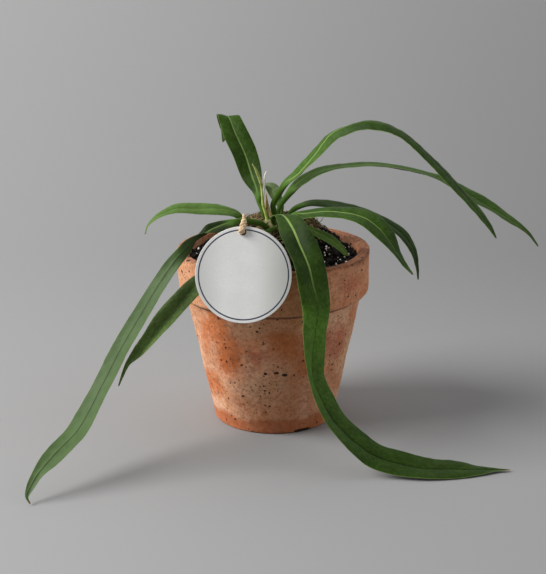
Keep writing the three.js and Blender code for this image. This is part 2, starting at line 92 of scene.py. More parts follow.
def unit(vectors):
    return vectors / np.linalg.norm(vectors, axis=-1, keepdims=True)


def waves(points, size, seed):
    """Smooth seeded noise, mostly within -1 to 1, with swells of about the given size."""
    count = 12
    rng = np.random.default_rng(seed)
    ways = unit(rng.normal(size=(count, 3)))
    lengths = size * rng.uniform(0.7, 1.6, count)
    phases = rng.uniform(0, math.tau, count)
    turns = points @ (ways * (math.tau / lengths[:, None])).T + phases
    return np.sin(turns).sum(1) * math.sqrt(2 / count) / 2


def path_lengths(points):
    """How far each point lies along the path through the points."""
    return np.concatenate([[0], np.cumsum(np.linalg.norm(np.diff(points, axis=0), axis=1))])


def catmull_rom(rows, t):
    """The points and slopes of the curve through the rows, at each t from 0 to the last row's number."""
    rows = np.asarray(rows, float)
    all_rows = np.vstack([2 * rows[0] - rows[1], rows, 2 * rows[-1] - rows[-2]])
    i = np.minimum(t.astype(int), len(rows) - 2)
    f = (t - i)[:, None]
    a, b, c, d = (all_rows[i + k] for k in range(4))
    square, cube = 2 * a - 5 * b + 4 * c - d, 3 * b - 3 * c + d - a
    points = (2 * b + (c - a) * f + square * f**2 + cube * f**3) / 2
    slopes = (c - a + 2 * square * f + 3 * cube * f**2) / 2
    return points, slopes


def even_steps(rows, step):
    """Values of t an even distance apart along the curve through the rows, and how far along they lie."""
    dense = np.linspace(0, len(rows) - 1, 40 * len(rows))
    points, _ = catmull_rom([row[:3] for row in rows], dense)
    lengths = path_lengths(points)
    stations = np.linspace(0, lengths[-1], int(math.ceil(lengths[-1] / step)) + 1)
    return np.interp(stations, lengths, dense), stations


def smooth_route(rows, step):
    t, _ = even_steps(rows, step)
    return catmull_rom(rows, t)[0]


def ring_angles(sides):
    return math.tau * np.arange(sides) / sides


def together(*parts):
    """The parts side by side in the last axis, each as large as all of them need."""
    return np.stack(np.broadcast_arrays(*parts), -1)


def circle(radius, height, angles, centre=(0, 0)):
    """A ring of points, whose radius may change with the angle, or from columns a stack of rings."""
    x = centre[0] + radius * np.cos(angles)
    y = centre[1] + radius * np.sin(angles)
    return together(x, y, height)


def ring_faces(rings, sides, closed=False):
    """Quads between rings of points, each joined to the next, and flat caps unless the loft is closed."""
    i = np.arange(rings if closed else rings - 1)[:, None]
    j = np.arange(sides)[None, :]
    next_ring, next_side = (i + 1) % rings, (j + 1) % sides
    corners = [i * sides + j, i * sides + next_side, next_ring * sides + next_side, next_ring * sides + j]
    faces = np.stack(corners, -1).reshape(-1, 4).tolist()
    if not closed:
        faces.append(list(range(sides))[::-1])
        faces.append(list(range((rings - 1) * sides, rings * sides)))
    return faces


def facing_out(points, faces):
    """The faces of a closed shape, turned over if they face inwards."""
    quads = [face if len(face) == 4 else face[:3] + face[2:3] for face in faces if len(face) <= 4]
    a, b, c, d = (points[column] for column in np.array(quads).T)
    volume = (np.cross(a, b) * c).sum() + (np.cross(a, c) * d).sum()
    return [face[::-1] for face in faces] if volume < 0 else faces


def link(name, data):
    """Puts an object with this data in the scene."""
    thing = bpy.data.objects.new(name, data)
    bpy.context.scene.collection.objects.link(thing)
    return thing


def add_piece(name, points, faces, material, slot, nodes=(), traits=None, smooth=True):
    """Makes a mesh piece that rides with the object, in place of the CAD nodes that are named."""
    mesh = bpy.data.meshes.new(name)
    mesh.from_pydata(metres(points).tolist(), [], facing_out(points, faces))
    for trait, values in (traits or {}).items():
        attribute = mesh.attributes.new(trait, "FLOAT_VECTOR", "POINT")
        attribute.data.foreach_set("vector", np.asarray(values, np.float32).ravel())
    mesh.materials.append(material)
    if smooth:
        mesh.shade_smooth()
    thing = link(name, mesh)
    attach(thing, "root")
    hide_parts(*nodes)


class Joined:
    """Many small shapes gathered into one mesh."""

    def __init__(self):
        self.points, self.faces, self.tints, self.count = [], [], [], 0

    def add(self, points, faces, tint=0):
        self.faces += [[k + self.count for k in face] for face in facing_out(points, faces)]
        self.points.append(points)
        self.tints.append(np.tile((tint, 0, 0), (len(points), 1)))
        self.count += len(points)

    def piece(self, name, material, slot, nodes=(), smooth=True):
        traits = {"tint": np.vstack(self.tints)}
        add_piece(name, np.vstack(self.points), self.faces, material, slot, nodes, traits, smooth)


def carried_sides(route):
    """Two sides of a route at each of its points, which don't twist about it."""
    along = unit(np.gradient(route, axis=0))
    # This way is only a start, and no route begins along it.
    side = np.cross(along[0], (0.3, 0.5, 0.8))
    sides = []
    for way in along:
        side = unit(side - way * side.dot(way))
        sides.append(side)
    return np.array(sides), np.cross(along, sides)


def tube(route, radii, sides, flatness=1.0):
    """Rings of points round a route, and the faces between them."""
    side, other = carried_sides(route)
    radii = np.broadcast_to(radii, len(route))[:, None, None]
    angles = ring_angles(sides)[None, :, None]
    ring = np.cos(angles) * side[:, None, :] + flatness * np.sin(angles) * other[:, None, :]
    return (route[:, None, :] + radii * ring).reshape(-1, 3), ring_faces(len(route), sides)


def tapered_tube(rows, step, profile, sides, flatness=1.0):
    """A tube on the smooth route through the rows, with its radius at shares of its length."""
    route = smooth_route(rows, step)
    radii = np.interp(np.linspace(0, 1, len(route)), *zip(*profile))
    return tube(route, radii, sides, flatness)


# Material helpers


def linear(code):
    """The linear colour of a hexadecimal sRGB code such as "a8a8a8"."""
    values = [int(code[i : i + 2], 16) / 255 for i in (0, 2, 4)]
    return [v / 12.92 if v <= 0.04045 else ((v + 0.055) / 1.055) ** 2.4 for v in values] + [1.0]


class Paint:
    """A material made node by node. A value is a number, a colour's code or another node's output."""

    def __init__(self, name):
        self.material = bpy.data.materials.new(name)
        self.material.use_nodes = True
        self.tree = self.material.node_tree
        self.shader = self.tree.nodes["Principled BSDF"]

    def put(self, socket, value):
        if isinstance(value, bpy.types.NodeSocket):
            self.tree.links.new(value, socket)
        else:
            socket.default_value = linear(value) if isinstance(value, str) else value

    def add(self, kind, values, out=0, **settings):
        node = self.tree.nodes.new("ShaderNode" + kind)
        for name, value in settings.items():
            setattr(node, name, value)
        for socket, value in values.items():
            self.put(node.inputs[socket], value)
        return node.outputs[out]

    def math(self, operation, a, b=0.0, c=0.0):
        return self.add("Math", {0: a, 1: b, 2: c}, operation=operation)

    def plus(self, a, b):
        return self.math("ADD", a, b)

    def minus(self, a, b):
        return self.math("SUBTRACT", a, b)

    def times(self, a, b, more=None):
        """The product, with more added to it if that is given."""
        return self.math("MULTIPLY", a, b) if more is None else self.math("MULTIPLY_ADD", a, b, more)

    def most(self, a, b):
        return self.math("MAXIMUM", a, b)

    def apart(self, a, b):
        return self.math("ABSOLUTE", self.minus(a, b))

    def step(self, value, low, high, start=0.0, end=1.0):
        """Goes smoothly from start to end as the value goes from low to high."""
        values = {"Value": value, "From Min": low, "From Max": high, "To Min": start, "To Max": end}
        return self.add("MapRange", values, interpolation_type="SMOOTHSTEP")

    def blend(self, share, a, b):
        return self.add("Mix", {0: share, 6: a, 7: b}, out=2, data_type="RGBA")

    def cover(self, colour, *layers):
        """The colour under layers, each a share and a colour, with the last one on top."""
        for share, other in layers:
            colour = self.blend(share, colour, other)
        return colour

    def coords(self, scale=(1, 1, 1)):
        place = self.add("TexCoord", {}, out=3)
        return self.add("Mapping", {0: place, 3: scale})

    def noise(self, place, scale, detail=3.0, roughness=0.5, distortion=0.0):
        values = {"Vector": place, "Scale": scale, "Detail": detail, "Roughness": roughness}
        return self.add("TexNoise", values | {"Distortion": distortion})

    def cells(self, place, scale, out=0):
        return self.add("TexVoronoi", {"Vector": place, "Scale": scale}, out=out)

    def split(self, vector):
        """The three numbers of a vector."""
        return list(self.add("SeparateXYZ", {0: vector}).node.outputs)

    def trait(self, name):
        """The three numbers of a mesh attribute."""
        return self.split(self.add("Attribute", {}, out=1, attribute_name=name))

    def bump(self, height, distance, strength):
        return self.add("Bump", {"Height": height, "Distance": distance, "Strength": strength})

    def finish(self, **inputs):
        for name, value in inputs.items():
            self.put(self.shader.inputs[name.replace("_", " ")], value)
        return self.material


def grained_paint(name, grain, dark, light, relief, roughness, stretch=(1, 1, 1)):
    """A material of two tones, with the same grain in its colour as in its relief."""
    paint = Paint(name)
    tone = paint.noise(paint.coords(stretch), *grain)
    colour = paint.blend(paint.step(tone, 0.3, 0.7), dark, light)
    return paint.finish(Base_Color=colour, Roughness=roughness, Normal=paint.bump(tone, *relief))


# Camera, floor and light


def add_camera():
    data = bpy.data.cameras.new("camera")
    data.lens = FOCAL_PIXELS * SENSOR / max(IMAGE_WIDTH, IMAGE_HEIGHT)
    data.sensor_width = SENSOR
    data.clip_start = 0.01
    camera = link("camera", data)
    c, s = math.cos(CAMERA_PITCH), math.sin(CAMERA_PITCH)
    cr, sr = math.cos(CAMERA_ROLL), math.sin(CAMERA_ROLL)
    right = Vector((cr, -sr * s, -sr * c))
    up = Vector((sr, cr * s, cr * c))
    back = Vector((0, -c, s))
    turn = Matrix((right, up, back)).transposed().to_4x4()
    camera.matrix_world = Matrix.Translation(Vector(metres(CAMERA_PLACE))) @ turn
    bpy.context.scene.camera = camera


def floor_paint():
    """Pale grey with painted light falloff: it darkens to the right, more slowly further back, and a little
    to the back.
    """
    paint = Paint("studio_floor")
    across, back, _ = paint.split(paint.add("NewGeometry", {}, out=0))
    across = paint.minus(across, float(AXIS[0]))
    back = paint.minus(back, float(AXIS[1]))
    # From half a metre in front of the pot, the floor repeats what lies behind that line.
    back = paint.most(back, paint.times(back, -1, -1))
    share = paint.step(paint.math("DIVIDE", across, paint.times(back, 0.26, 0.28)), -1.5, 1.5)
    # Painted shade: darker to the right and to the back, in place of the key lamp's falloff
    near = paint.blend(share, "9e9e9e", "818181")
    far = paint.blend(share, "959595", "676767")
    colour = paint.blend(paint.step(back, -0.2, 0.5), near, far)
    return paint.finish(Base_Color=colour, Roughness=0.85)


def add_studio():
    mesh = bpy.data.meshes.new("floor")
    corners = [(x * FLOOR_REACH, y * FLOOR_REACH, 0) for x, y in ((-1, -1), (1, -1), (1, 1), (-1, 1))]
    mesh.from_pydata(corners, [], [(0, 1, 2, 3)])
    mesh.materials.append(floor_paint())
    floor = link("floor", mesh)
    world = bpy.data.worlds.new("studio")
    world.use_nodes = True
    sky = world.node_tree.nodes["Background"]
    sky.inputs["Color"].default_value = (1, 1, 1, 1)
    sky.inputs["Strength"].default_value = SKY_STRENGTH
    bpy.context.scene.world = world
    for name, (direction, spread, strength) in SUNS.items():
        data = bpy.data.lights.new(name, "SUN")
        data.angle = math.radians(spread)
        data.energy = strength
        link(name, data).rotation_euler = Vector(direction).to_track_quat("Z", "Y").to_euler()
    bpy.context.scene.view_settings.view_transform = "Standard"


# Pot

POT_OUTLINE = [
    # radius, height and the radius of the rounded corner there
    (6.5, 0, 0.5),
    (44.3, 0, 1.4),
    (64, 95, 0.5),
    (68.6, 95.6, 2.4),
    (70, 127, 2.2),
    (62, 127, 1.8),
    (38.5, 9, 3),
    (6.5, 9, 1),
]
POT_SIDES = 300
POT_STEP = 1.15
CORNER_POINTS = 7
# What lies less than this inside the line from foot to collar is the outer side.
POT_SKIN = 0.85


def rounded_outline(corners, step):
    """The closed outline with its corners rounded and points at most a step apart."""
    points = np.array([corner[:2] for corner in corners], float)
    out = []
    for k, (_, _, radius) in enumerate(corners):
        here, before, after = points[k], points[k - 1], points[(k + 1) % len(points)]
        start = here + unit(before - here) * radius
        end = here + unit(after - here) * radius
        for t in np.linspace(0, 1, CORNER_POINTS):
            out.append((1 - t) ** 2 * start + 2 * t * (1 - t) * here + t**2 * end)
    dense = []
    for a, b in zip(out, out[1:] + out[:1]):
        count = max(1, int(math.ceil(np.linalg.norm(b - a) / step)))
        dense += [a + (b - a) * k / count for k in range(count)]
    return np.array(dense)


# Clouds of another colour on the pot's front: across, height, half width and half height
ORANGE_CLOUDS = [(-42, 80, 9, 16), (-33, 60, 10, 14), (9, 70, 15, 13), (24, 62, 9, 16), (-49, 30, 10, 12)]
RED_CLOUDS = [(43, 68, 9, 12), (-12, 64, 7, 7), (52, 112, 8, 6)]
PALE_CLOUDS = [(-43, 74, 2.5, 24), (-20, 84, 14, 7), (-8, 38, 20, 13), (51, 60, 5, 32), (-57, 112, 12, 14)]
# Painted shade over the front middle of the pot, where its front turns away from the key lamp
FRONT_SHADE = [(4, 58, 34, 70)]
# Painted shadow of the leaves on the rim's top at the right
RIM_LEAF_SHADOW = [(58, 127.5, 15, 4), (33, 127.5, 9, 3)]
CHIPS = [(2.5, 52, 2.2, 1.1), (8.5, 50, 1.9, 1.3), (21, 2.4, 6, 1.4), (-21, 31, 1.3, 0.9)]


def pot_clouds(paint, place, clouds, wobble):
    """How far a place lies inside any of the clouds, on the front of the pot."""
    across, back, height = paint.split(place)
    across = paint.times(paint.minus(across, float(AXIS[0])), 1000)
    height = paint.times(height, 1000)
    front = paint.step(paint.minus(back, float(AXIS[1])), -0.01, 0, 1, 0)
    whole = 0
    for cloud_across, cloud_height, half_width, half_height in clouds:
        a = paint.math("DIVIDE", paint.minus(across, cloud_across), half_width)
        b = paint.math("DIVIDE", paint.minus(height, cloud_height), half_height)
        away = paint.plus(paint.plus(paint.times(a, a), paint.times(b, b)), wobble)
        whole = paint.most(whole, paint.step(away, 0, 1.9, 1, 0))
    return paint.times(whole, front)


def pits_in(paint, place, scale, share, size, crowd):
    """Small holes: this share of the cells has one, up to a size in cells, larger where they crowd."""
    away = paint.cells(place, scale)
    chance = paint.split(paint.cells(place, scale, out=1))[0]
    reach = paint.times(paint.step(chance, 1 - share, 1, 0, size), crowd)
    return paint.math("LESS_THAN", away, reach)


def pot_holes(paint, place, wobble):
    """Where the fired clay has pits and chips, with edges that are a little ragged."""
    crowd = paint.step(paint.noise(place, 40, 2), 0.36, 0.6, 0.45, 1.0)
    shifts = paint.add("TexNoise", {"Vector": place, "Scale": 900}, out=1)
    ragged = paint.add("Mix", {0: 0.0025, 4: place, 5: shifts}, out=1, data_type="VECTOR")
    small = pits_in(paint, ragged, 330, 0.95, 0.27, crowd)
    large = pits_in(paint, ragged, 190, 0.35, 0.27, crowd)
    chips = pot_clouds(paint, ragged, CHIPS, paint.times(wobble, 0.3))
    return paint.most(paint.most(small, large), paint.math("GREATER_THAN", chips, 0.5))


def pot_paint():
    """Fired clay: soft clouds, then streaks and grain, then painted shade on the front and painted leaf
    shadow on the rim's top, darker patches on the rim's top, a painted shade line under the collar, and pits
    darkened with painted shade over all.
    """
    paint = Paint("terracotta")
    place = paint.coords()
    _, _, height = paint.split(place)
    cloud = paint.noise(place, 30, 5, 0.62, 0.5)
    patch = paint.noise(paint.coords((1, 1, 1.7)), 17, 4, 0.6, 0.6)
    streak = paint.noise(paint.coords((1, 1, 0.16)), 130, 4, 0.6)
    grain = paint.noise(place, 1300, 3, 0.7)
    sand = paint.noise(place, 380, 4, 0.7)
    wobble = paint.times(paint.noise(place, 55, 4, 0.6, 0.5), 3.6, -1.8)
    low = paint.times(paint.noise(place, 60, 3), 0.012, height)
    collar = paint.times(paint.step(height, 0.094, 0.099), paint.step(cloud, 0.3, 0.7, 0.1, 0.6))
    # Darker patches on the rim's top
    rim_top_dark = paint.times(paint.step(height, 0.1245, 0.1268), paint.step(sand, 0.3, 0.6, 0.3, 0.75))
    # Painted shade: a thin dark line on the neck just under the collar, where the collar shades it
    collar_shade_line = paint.apart(height, 0.0946)
    hole = pot_holes(paint, place, wobble)

    def within(clouds, share):
        return paint.times(pot_clouds(paint, place, clouds, wobble), share)

    colour = paint.cover(
        paint.blend(paint.step(cloud, 0.34, 0.66), "d6946a", "ecba98"),
        (paint.step(patch, 0.48, 0.7, 0, 0.7), "cf7545"),
        (within(PALE_CLOUDS, 0.65), "dcae88"),
        (within(ORANGE_CLOUDS, 0.8), "cc6c30"),
        (within(RED_CLOUDS, 0.6), "c0624a"),
        (paint.step(streak, 0.5, 0.8, 0, 0.3), "e2c8b2"),
        (paint.step(low, 0.014, 0.020, 0.7, 0), "b9602f"),
        (collar, "d0865c"),
        (paint.step(sand, 0.4, 0.7, 0, 0.6), "8f5434"),
        (paint.step(grain, 0.55, 0.72, 0, 0.4), "5a301e"),
        # Painted shade over the pot's front middle
        (within(FRONT_SHADE, 0.36), "7d4a30"),
        # Painted shadow of the leaves on the rim's top
        (within(RIM_LEAF_SHADOW, 0.6), "6e4029"),
        (rim_top_dark, "744630"),
        # Painted shade under the collar
        (paint.step(collar_shade_line, 0.0012, 0.0019, 0.7, 0), "5a3a2c"),
        # Pits and chips painted near-black, as painted shade in their hollows
        (paint.times(hole, 0.95), "20120c"),
    )
    relief = paint.times(grain, 0.5, paint.times(sand, 0.6, hole))
    relief = paint.times(hole, -2, relief)
    normal = paint.bump(relief, 0.0006, 0.6)
    return paint.finish(Base_Color=colour, Roughness=0.9, Specular_IOR_Level=0.25, Normal=normal)


def make_pot():
    outline = rounded_outline(POT_OUTLINE, POT_STEP)
    angles = ring_angles(POT_SIDES)
    points = circle(outline[:, :1], outline[:, 1:], angles).reshape(-1, 3)
    radial = np.tile(circle(1, 0, angles), (len(outline), 1))
    z = points[:, 2].copy()
    _, foot, shoulder = POT_OUTLINE[:3]
    wall = np.interp(z, [foot[1], shoulder[1]], [foot[0], shoulder[0]])
    outside = np.hypot(points[:, 0], points[:, 1]) > wall - POT_SKIN
    turning = 0.10 * np.sin(z * 2.4 + 2 * waves(points, 60, 1)) + 0.05 * np.sin(z * 5.1 + 1)
    dents = 0.35 * waves(points, 26, 2) + 0.12 * waves(points, 6, 3)
    push = np.where(outside & (z < 126.5), turning + dents - 0.3, 0.0) * smoothstep(z, 0.2, 4)
    points += radial * push[:, None]
    points[:, 2] += smoothstep(z, 122, 127) * (0.35 * waves(points, 30, 4) - 0.25)
    faces = ring_faces(len(outline), POT_SIDES, closed=True)
    add_piece("pot_fired", points, faces, pot_paint(), "terracotta", ["pot"])


# Leaves: each row is [x, y, z, armX, armY, armZ, fold]. The point lies on the midrib. The arm runs from it
# to the right-hand edge, as seen along the leaf from its base with its top side up. The fold lifts both
# halves of the blade out of flat, in degrees.

LEAVES = {}
LEAVES["leaf_upright"] = [
    [-5, 1, 145, 1.5, 0, 0, 0],
    [-7, 0, 152, 1.5, 0, 0.5, 0],
    [-10, 3, 159, 1.5, -0.5, 0.5, 0],
    [-11, 7, 167, 3.5, -2, 2, 5],
    [-15, 14, 177, 7, -1, 3.5, 5],
    [-20, 22, 190, 8.5, 2, 2, 10],
    [-27, 30, 204, 8.5, 1.5, 3, 15],
    [-31, 36, 213, 8, 0.5, 0.5, 8],
    [-33, 41, 215, 8, 1, -1, 3],
    [-34, 46, 212, 6.5, 1, 0, 0],
    [-34, 49, 204, 4.5, 1, 0, 0],
    [-36, 50, 198, 2, 0, 0, 0],
    [-37, 50, 194, 0.5, 0, 0, 0],
]
LEAVES["leaf_high_right"] = [
    [2, 2, 145, 2, 0, 0, 0],
    [1, 1.5, 152, 2, 0, 0, 0],
    [0, 0, 158, 2, -0.5, 0, 0],
    [4, -2, 166, 2, 0, -1, 0],
    [9, -4, 174, 1.5, -2.6, -1, 15],
    [18.4, -7.6, 181.7, 1.8, -6, -0.5, 27],
    [31, -12.3, 197.8, 2.3, -6.4, -0.2, 8],
    [39.4, -15.7, 210, 2.2, -6.5, -0.6, -16],
    [49, -19, 216.1, 1.3, -6.8, -1.2, -25],
    [66, -25, 221, -2.4, -6.5, -2.2, -24],
    [86, -33, 215.5, -3.1, -6.5, 0, -14],
    [104, -42, 201.1, -3.2, -6.2, 0.3, -10],
    [121, -52, 183.5, -3.5, -5.5, 0, -5],
    [135, -62, 167.8, -3, -4, 0, 0],
    [143, -67, 157.5, -1.8, -2.6, 0, 0],
    [147, -71, 151, -0.5, -0.5, 0, 0],
]
LEAVES["leaf_second_right"] = [
    [4.5, 5, 144, 1.5, -0.5, 0, 0],
    [4, 6, 153, 1.5, 0, -0.5, 0],
    [10, 9, 162, 2, -0.5, -1, 0],
    [19, 12, 171, 2, -4.5, -1.5, 5],
    [34, 15, 179, 1.5, -7, -1, 5],
    [56, 18, 182, 1, -7.5, 0, 5],
    [77, 20, 182, 0, -7.5, 0, 5],
    [100, 20, 178, 0, -7.5, 0, 5],
    [121, 18, 172, -1, -7.5, -0.5, 5],
    [144, 13, 160, -3, -6.5, -2, 5],
    [165, 6, 148, -2.5, -6, -1, 5],
    [181, 0, 138, -1.5, -3, -0.5, 0],
    [190, -4, 127, -0.5, -1, 0, 0],
]
LEAVES["leaf_mid_right_rear"] = [
    [7, 5, 142, 1, -1, 0, 0],
    [12, 12, 149, 1, -1, -0.5, 0],
    [20, 17, 153, 1.5, -3, -0.5, 0],
    [34, 22, 154, 1, -5.5, -1.5, 0],
    [56, 25, 149, 0, -7, -1.5, 5],
    [78, 24, 141, -1.5, -6.5, -1.5, 5],
    [93, 20, 132, -3, -6.5, -1, 5],
    [102, 15, 121, -3, -4.5, 0.5, 0],
    [105, 10, 109, -1.5, -2.5, 0.5, 0],
    [106, 7, 99, -0.5, -1, 0, 0],
]
LEAVES["leaf_mid_right_front"] = [
    [6.5, -1, 144, 1, 0, -1, 0],
    [13, -8, 152, 0, -1, -1, 0],
    [22, -13, 154, -2, -5, -2, 0],
    [37, -19, 157, -3, -7, -2, 0],
    [54, -26, 157, -4, -8, -2.5, 5],
    [66, -33, 154, -6, -7.5, -2.5, 5],
    [76, -40, 146, -6, -6.5, -1.5, 5],
    [84, -46, 135, -3, -5, 0.5, 0],
    [90, -50, 127, -1.5, -2.5, 0, 0],
    [95, -53, 121, -0.5, -1, 0, 0],
]
LEAVES["leaf_front_trailing"] = [
    [1, -4.5, 144, -2, 0, 0, 0],
    [0, -9, 149, -2, 0, 0, 0],
    [1, -16, 153, -3, -0.5, 0, 0],
    [7, -26, 156, -5.5, -2.5, 0, 0],
    [13, -42, 152, -8, -1, -5, 15],
    [18, -58, 143, -11, -2.5, -1.5, 20],
    [23, -70, 133, -10.5, -4.5, 0, 14],
    [26, -76, 121, -10, -5.5, -0.5, 5],
    [29, -79, 106, -9.5, -5.5, 1, -9],
    [27, -82, 89, -8, -7.5, 2.5, 0],
    [25, -86, 74, -7, -8, 3, 16],
    [26, -91, 60, -6, -9, 2, 19],
    [31, -96, 48, -6, -9, 0, 19],
    [39, -101, 35, -5.5, -9.5, -1, 12],
    [51, -105, 23, -4, -9.5, -3.5, 10],
    [66, -107, 12, -4, -9, -4.5, 5],
    [82, -109, 7, -3, -9.5, -4.5, 5],
    [100, -111, 4, -1, -10, -3, 6],
    [120, -110, 3, 0.5, -9, -2, 4],
    [135, -109, 2, 0.5, -6, -0.5, 0],
    [147, -108, 1.5, 0, -2.5, 0, 0],
    [157, -108, 1.5, 0, -0.5, 0, 0],
]
LEAVES["leaf_left_trailing"] = [
    [-4, -6, 141, 0.5, -0.5, 2, 0],
    [-8, -16, 148, 0.5, 0, 2, 0],
    [-16, -28, 153, 0.5, 0, 2, 0],
    [-21, -36, 155.7, 0.5, -0.5, 2, 0],
    [-29.5, -42, 155, -1, 2.8, 1.8, 12],
    [-36.5, -47, 154, -1.5, 4, 2.4, 22],
    [-42, -51, 152.6, -2, 4.6, 2.6, 24],
    [-46.3, -54, 150.3, -1.1, 5.3, 0, 25],
    [-49.9, -57, 148.8, 0.4, 4.8, -1.9, 22],
    [-55.5, -59.5, 145.4, 2.2, 3.2, -3.3, 10],
    [-60.2, -61.5, 141, 3, 0.8, -3.2, 3],
    [-68, -64, 132, 4, -3.2, -2, -4],
    [-78.5, -69, 117, 4.5, -5, -1.5, -7],
    [-87.5, -73, 102.5, 5, -5.5, -1.5, -7],
    [-101.5, -80, 80, 5.5, -6, -1, -7],
    [-113, -88, 59.5, 6, -6, -0.5, -7],
    [-121, -98, 45, 7, -5.5, 0.5, -7],
    [-129, -111, 33.5, 7.5, -5.5, 0.5, -6],
    [-138, -123, 27, 6.5, -4.5, -1, -4],
    [-144.5, -131, 22, 5.5, -3.5, -1.5, 0],
    [-151, -139, 16, 3.5, -2, -1, 0],
    [-155, -145, 10, 2.5, -1, -1, 0],
    [-157, -149, 5, 1, -0.5, -0.5, 0],
    [-154.5, -152, 1.2, 0.5, 0, 0.5, 0],
]
LEAVES["leaf_upper_left"] = [
    [-5, 2, 141, 0.5, 0, 1.5, 0],
    [-13, -2, 146, 0.5, 0.5, 1.5, 0],
    [-21, -4, 148, 0.5, 0.5, 1.5, 0],
    [-25, -6, 152, 0, 3, 2, 0],
    [-31, -8, 155, -0.5, 5, 2, 0],
    [-41, -10, 157, -1, 6.5, 2.5, 5],
    [-53, -12, 158, -1, 6.5, 2.5, 5],
    [-66, -14, 159, -1.5, 6.5, 2, 5],
    [-75, -16, 157, -1.5, 5, 1, 0],
    [-83, -18, 153, -1, 3, 0.5, 0],
    [-88, -19, 148, -0.5, 1, 0, 0],
    [-90, -20, 142, -0.5, 0, 0, 0],
]
LEAVES["leaf_lower_left"] = [
    [5, -5, 141, 0, 0, 1.5, 0],
    [0, -14, 144, 0, 0, 1.5, 0],
    [-10, -28, 142, -0.5, 0, 2, 0],
    [-22, -43, 139, -2.5, 2, 0.5, 0],
    [-33, -55, 134, -4, 3.5, 1, 0],
    [-43, -61, 125.5, -4.5, 5.5, 1, 0],
    [-53, -64, 117, -5, 5.5, 2, 5],
    [-62, -66, 108, -5.5, 5, 2.5, 10],
    [-72, -70, 98, -5.5, 5.5, 2.5, 7],
    [-83.5, -76, 84.5, -4, 5, 2, 8],
    [-91.5, -79, 76, -3, 4.5, 1.5, 4],
    [-97.5, -81, 69.5, -1.5, 2.5, 0.5, 0],
    [-101.5, -84, 61.5, -1, 1, 0, 0],
    [-104.3, -87, 54.6, -0.5, 0.5, 0, 0],
]
LEAVES["leaf_rear"] = [
    [3.5, 7, 142, 1.5, -0.5, 0, 0],
    [6, 13, 150, 1, -1, 0.5, 0],
    [5, 18, 155, 2, -1.5, 3, 0],
    [2, 25, 159, 1.5, -2, 6, -5],
    [-1, 34, 163, 6, 3, -1.5, 3],
    [-5, 43, 162, 5.5, 2.5, 1.5, 0],
    [-11, 58, 158, 3.5, 1.5, 2, 0],
    [-15, 70, 154, 0.5, 0.5, 0, 0],
]
LEAVES["leaf_short"] = [
    [6.5, -3, 141, 0, -0.5, -1.5, 0],
    [12, -4, 144.5, 0, -0.5, -1.5, 0],
    [18, -6, 144.5, -0.5, -1, -1.5, 0],
    [28, -9, 141, -1, -1.5, -2, 0],
    [39, -13, 136.5, -1, -2, -2.5, 0],
    [47, -17, 131, -1, -1.5, -2, 0],
    [52, -20, 125.5, -0.5, -1, -1, 0],
]

# Leaf looks along each leaf: share of its length, midrib (pale above 0, a dark line of painted groove shade
# below), painted light and shade that scales the colour, margin
PLAIN_LOOK = [(0, 0.4, 0.8, 0.4), (1, 0.3, 0.8, 0.4)]
LEAF_LOOKS = {
    "leaf_upright": [(0, 0.1, 0.7, 0.2), (0.35, 0.55, 0.5, 0.3), (0.7, 0.6, 0.75, 0.5),
        (1, 0.3, 0.6, 0.4)],
    "leaf_high_right": [(0, 0.1, 0.7, 0.2), (0.2, 0.7, 1.2, 0.5), (0.34, 0.7, 1, 0.6),
        (0.44, 0.1, 0.5, 0.5), (0.65, 0.05, 0.5, 0.4), (1, 0.05, 0.7, 0.4)],
    "leaf_second_right": [(0, 0.1, 0.7, 0.3), (0.2, 0.08, 0.5, 0.5), (0.4, 0.08, 0.75, 0.6),
        (1, 0.05, 0.75, 0.4)],
    "leaf_mid_right_rear": [(0, 0.1, 0.5, 0.3), (1, 0.1, 0.5, 0.4)],
    "leaf_mid_right_front": [(0, 0.3, 0.8, 0.3), (0.3, 0.6, 0.75, 0.5), (0.6, 0.6, 0.65, 0.5),
        (1, 0.5, 0.7, 0.4)],
    "leaf_front_trailing": [(0, 0.4, 0.7, 0.2), (0.13, 0.75, 0.5, 0.2), (0.2, 0.7, 0.3, 0.2),
        (0.28, 0.6, 0.6, 0.3), (0.38, -0.5, 1.8, 0.4), (0.55, -0.8, 1.2, 0.5), (0.64, -0.8, 0.75, 0.6),
        (0.76, -0.8, 0.45, 0.6), (1, -0.4, 0.42, 0.5)],
    "leaf_left_trailing": [(0, 0.2, 0.3, 0.2), (0.15, 0.4, 0.18, 0.3), (0.255, 0.35, 0.15, 0.3),
        (0.285, -0.6, 0.4, 0.15), (0.33, -0.75, 0.48, 0.15), (0.7, -0.8, 0.49, 0.2), (1, -0.7, 0.55, 0.3)],
    "leaf_upper_left": [(0, 0.2, 0.9, 0.3), (1, 0.3, 0.9, 0.5)],
    "leaf_lower_left": [(0, 0.1, 0.6, 0.2), (0.38, 0.05, 0.6, 0.3), (0.6, 0.03, 1.6, 0.3),
        (0.8, 0, 3.2, 0.3), (1, 0, 4, 0.4)],
    "leaf_rear": [(0, 0.1, 0.9, 0.3), (1, 0.1, 0.9, 0.3)],
}

# Columns of points from the midrib to the edge, as shares of the half width
SHARES = np.array([0, 0.04, 0.08, 0.13, 0.19, 0.27, 0.36, 0.46, 0.57, 0.68, 0.78, 0.87, 0.94, 0.985, 1])
STALK_HALF_WIDTH = 2.2
BLADE_HALF_WIDTH = 6
LEAF_KEELS = {"leaf_left_trailing": 0.15}
LEAF_STEP = 0.9
# At a leaf's base and at its tip: half its thickness, and the height and width of the rib below it
HALF_THICKNESS = (0.34, 0.26)
RIB_HEIGHT = (1.3, 0.25)
RIB_WIDTH = (1.3, 0.6)
# The midrib on the top side is a ridge near the base and a groove further out: height or depth, and width
RIDGE = (0.55, 0.55)
GROOVE = (0.3, 0.45)


